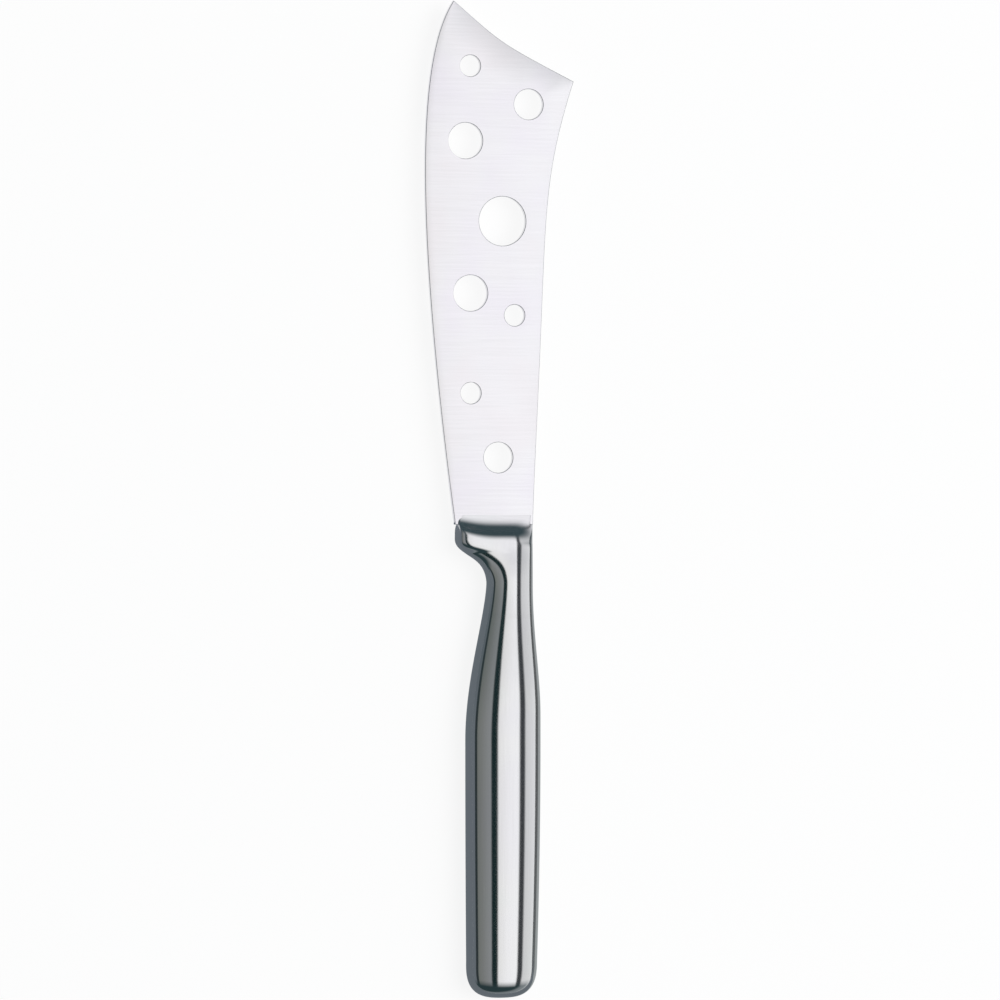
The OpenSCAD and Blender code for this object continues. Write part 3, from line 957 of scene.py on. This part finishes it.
# %% The floor
floor_r, floor_rings, floor_spokes = 3.0, 12, 96
floor_grey, floor_glow = 0.12, 0.89
floor_way, floor_turn = np.meshgrid(np.linspace(0, 1, floor_rings) ** 2 * floor_r / MM,
                                    np.linspace(0, 2 * np.pi, floor_spokes, endpoint=False),
                                    indexing="ij")
floor_points = np.stack([floor_way * np.cos(floor_turn), floor_way * np.sin(floor_turn),
                         0 * floor_turn], axis=-1)
floor_faces = grid_faces(floor_rings, floor_spokes, closed=True)[:, ::-1]
floor = make_piece("paper_floor", floor_points, [], [floor_faces])

# %% [markdown]
# The paper's glow is switched on for rays from the camera and from mirrors, and for rays through
# clear things. No other ray sees it, so it lights nothing and leaves the knife's shadow alone.

# %% The floor's paper
paper_floor, sheet = new_material("paper_floor")
sheet.nodes.clear()
matt = add(sheet, "BsdfDiffuse", Color=(floor_grey, floor_grey, floor_grey, 1))
seen = add(sheet, "LightPath").outputs
seen_or_mirrored = maths(sheet, "ADD", seen["Is Camera Ray"], seen["Is Glossy Ray"])
any_ray = maths(sheet, "ADD", seen_or_mirrored, seen["Is Transmission Ray"])
glow = add(sheet, "Emission", Color=(1, 1, 1, 1),
           Strength=maths(sheet, "MULTIPLY", any_ray, floor_glow))
both = add(sheet, "AddShader")
plug(sheet, matt.outputs["BSDF"], both.inputs[0])
plug(sheet, glow.outputs["Emission"], both.inputs[1])
add(sheet, "OutputMaterial", Surface=both.outputs["Shader"])
floor.data.materials.append(paper_floor)
print("the floor glows with", floor_glow, "where it is seen")

# %% [markdown]
# White paper all round would dissolve the edges of a shiny thing. So glowing grey strips lie on
# the floor close to both sides. They are painted reflections: only reflections see them, they
# light nothing and cast no shadow, and they darken the steel's lowest flanks where it would
# mirror the white floor. Those behind the butt and to the left take the colour of the low wall,
# and those ahead of the bolster the teal of the far end, so that wall and strip meet without a
# line. The lightest strip lies along the handle's spine side.

# %% Painted reflections: glowing grey strips
painted_reflection_sheet_height = 0.2


def painted_reflection_sheet(name, x_from, x_to, y_from, y_to, colour):
    """A flat glowing strip on the floor that only reflections see, a painted reflection, given by
    its four sides.
    """
    corners = np.array([[x_from, y_from, painted_reflection_sheet_height], [x_to, y_from, painted_reflection_sheet_height],
                        [x_to, y_to, painted_reflection_sheet_height], [x_from, y_to, painted_reflection_sheet_height]])
    piece = make_piece(name, corners, [], [np.array([[0, 1, 2, 3]])])
    piece.visible_camera = False
    piece.visible_diffuse = False
    piece.visible_shadow = False
    material, tree = new_material(name)
    tree.nodes.clear()
    # the strip's glow is the painted reflection that the steel mirrors
    light = add(tree, "Emission", Color=(*colour, 1), Strength=1.0)
    add(tree, "OutputMaterial", Surface=light.outputs["Emission"])
    piece.data.materials.append(material)


far, handle_x, right_x = 2000.0, 3.0, 42.0
ahead_x, far_ahead_x, left_ahead_x = 9.0, 20.0, -23.0
butt_gap, points_l = 2.0, 36.0
right_grey, far_right_grey = (0.42, 0.445, 0.445), (0.15, 0.16, 0.16)
heel_y, behind_y, points_y = face_y + fillet_l, butt_y - butt_gap, tip_y - points_l
# each strip paints a grey or dark reflection into the steel's lowest flanks
painted_reflection_sheet("painted_reflection_sheet_left", -far, handle_x, -far, face_y, low_wall)
painted_reflection_sheet("painted_reflection_sheet_right", handle_x, right_x, behind_y, heel_y, right_grey)
painted_reflection_sheet("painted_reflection_sheet_far_right", right_x, far, behind_y, heel_y, far_right_grey)
painted_reflection_sheet("painted_reflection_sheet_behind", handle_x, far, -far, behind_y, low_wall)
painted_reflection_sheet("painted_reflection_sheet_ahead", ahead_x, far, heel_y, points_y, far_teal)
painted_reflection_sheet("painted_reflection_sheet_far_ahead", far_ahead_x, far, points_y, far, far_teal)
painted_reflection_sheet("painted_reflection_sheet_left_ahead", -far, left_ahead_x, face_y, far, low_wall)

# %% [markdown]
# One large lamp from the upper right gives the floor its soft shadow. The steel doesn't mirror
# it, because the softbox is already in the bands.

# %% The lamp
lamp_data = bpy.data.lights.new("key", "AREA")
lamp_data.shape = "RECTANGLE"
lamp_data.size, lamp_data.size_y = 0.9, 1.2
lamp_data.energy = 9.0
key = bpy.data.objects.new("key", lamp_data)
bpy.context.scene.collection.objects.link(key)
key.location = (0.55, 0.1, 1.1)
key.rotation_euler = key.location.to_track_quat("Z", "Y").to_euler()
key.visible_glossy = False
print(f"lamp {key.location.length:.2f} m from the knife, {lamp_data.energy:.0f} W")

# %% [markdown]
# ## The camera
#
# The photograph looks down on the knife from the cutting-edge side, 18.5 degrees off the
# vertical, with the tip up. A long lens far away keeps the sizes true. The frame is as wide as
# the photograph's, 1000 pixels at 4.15 pixels a millimetre. It is centred a little to the left of
# the handle's axis.

# %% The camera
frame_px, px_per_mm = 1000.0, 4.15
frame_w = frame_px / px_per_mm
centre_right, centre_y = -0.70, -0.1
lens, sensor = 300.0, 36.0
distance = frame_w * lens / sensor

right = np.array([np.cos(camera_tilt), 0, np.sin(camera_tilt)])
target = np.array([axis_shift, centre_y, mid_z]) + right * centre_right
camera_data = bpy.data.cameras.new("photo_camera")
camera_data.lens, camera_data.sensor_width = lens, sensor
camera_data.clip_start, camera_data.clip_end = 0.05, 20.0
camera = bpy.data.objects.new("photo_camera", camera_data)
bpy.context.scene.collection.objects.link(camera)
camera.location = (target + to_camera * distance) * MM
camera.rotation_euler = (0, -camera_tilt, 0)
bpy.context.scene.camera = camera
bpy.context.scene.view_settings.view_transform = "Standard"
print(f"camera {distance:.0f} mm away, frame {frame_w:.1f} mm wide")
